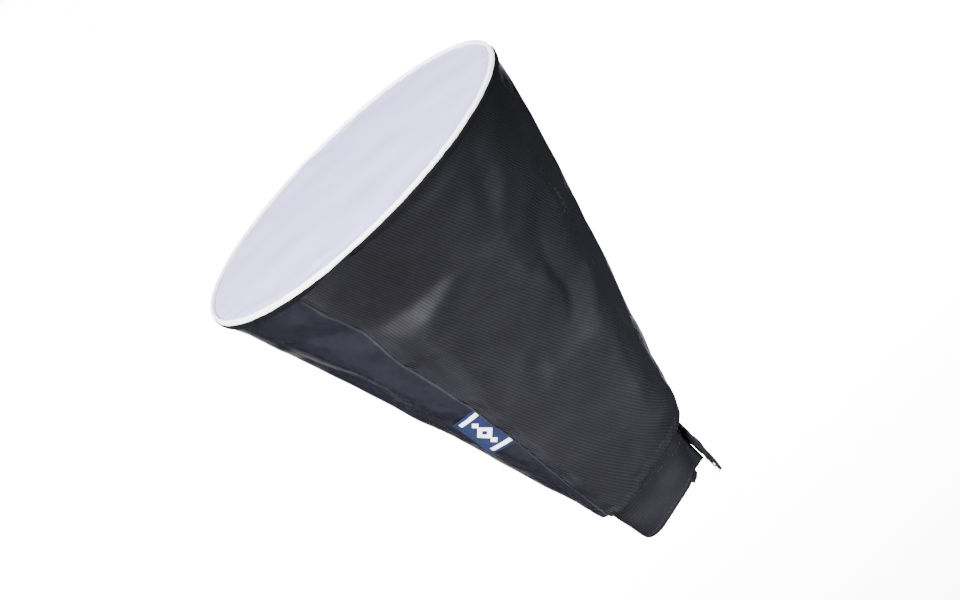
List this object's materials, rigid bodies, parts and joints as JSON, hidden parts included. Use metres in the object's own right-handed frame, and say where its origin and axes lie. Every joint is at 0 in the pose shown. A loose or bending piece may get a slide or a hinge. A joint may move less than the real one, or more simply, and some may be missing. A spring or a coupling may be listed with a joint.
{
  "type": "flash snoot",
  "caption": "Soft conical snoot for a shoe-mount flash: wrapped padded wall with a hook-and-loop side flap, strapped rear cuff and a removable round white diffuser cap.",
  "frame": {"origin": "centre of the cuff's rear opening, where the flash head goes in", "axes": "+Z along the light's way, from the cuff to the diffuser; +Y towards the flash head's top, where the cuff closes; +X towards the side with the closure flap"},
  "size_m": [0.2038, 0.2038, 0.2627],
  "materials": {
    "ribbed_nylon": "ribbed satin",
    "black_satin": "satin",
    "foam": "matte",
    "silver_lining": "metallised",
    "boning": "satin",
    "black_tape": "matte",
    "loop_pile": "matte",
    "hook_tape": "matte",
    "woven_label": "woven",
    "black_webbing": "woven",
    "grip_rubber": "matte",
    "white_diffuser": "translucent",
    "elastic": "matte",
    "white_piping": "matte"
  },
  "bodies": {
    "cone": {"main_panel": "ribbed_nylon", "lower_panel": "black_satin", "foam_core": "foam", "silver_lining": "silver_lining", "mouth_boning": "boning", "mouth_hem": "black_tape", "rear_hem": "black_tape", "loop_strip": "loop_pile", "cuff_band": "black_webbing", "grip_pad_near": "grip_rubber", "grip_pad_far": "grip_rubber", "grip_pad_bottom": "grip_rubber", "cuff_tongue": "black_webbing", "tongue_loop_patch": "loop_pile", "tail_anchor": "black_webbing"},
    "side_flap": {"closure_flap": "ribbed_nylon", "hook_strip": "hook_tape", "flap_binding": "black_tape"},
    "label": {"woven_label": "woven_label"},
    "strap_tail": {"cuff_tail": "black_webbing", "tail_hook_patch": "hook_tape"},
    "cap": {"diffuser_sheet": "white_diffuser", "elastic_cord": "elastic", "edge_binding": "white_piping"}
  },
  "joints": [
    {"name": "cap_pull", "type": "slide", "parent": "cone", "child": "cap", "axis": [0, 0, 1], "range_m": [0, 0.09]},
    {"name": "flap_peel", "type": "hinge", "parent": "cone", "child": "side_flap", "pos_m": [0.0453, -0.00799, 0.024], "axis": [0.2249, -0.0397, 0.9736], "range_deg": [0, 120]},
    {"name": "label_lift", "type": "hinge", "parent": "cone", "child": "label", "pos_m": [0.05607, -0.03491, 0.1015], "axis": [0.1897, -0.105, 0.9762], "range_deg": [0, 60]},
    {"name": "tail_peel", "type": "hinge", "parent": "cone", "child": "strap_tail", "pos_m": [-0.026, 0.033, 0], "axis": [0, 0, 1], "range_deg": [0, 150]}
  ]
}
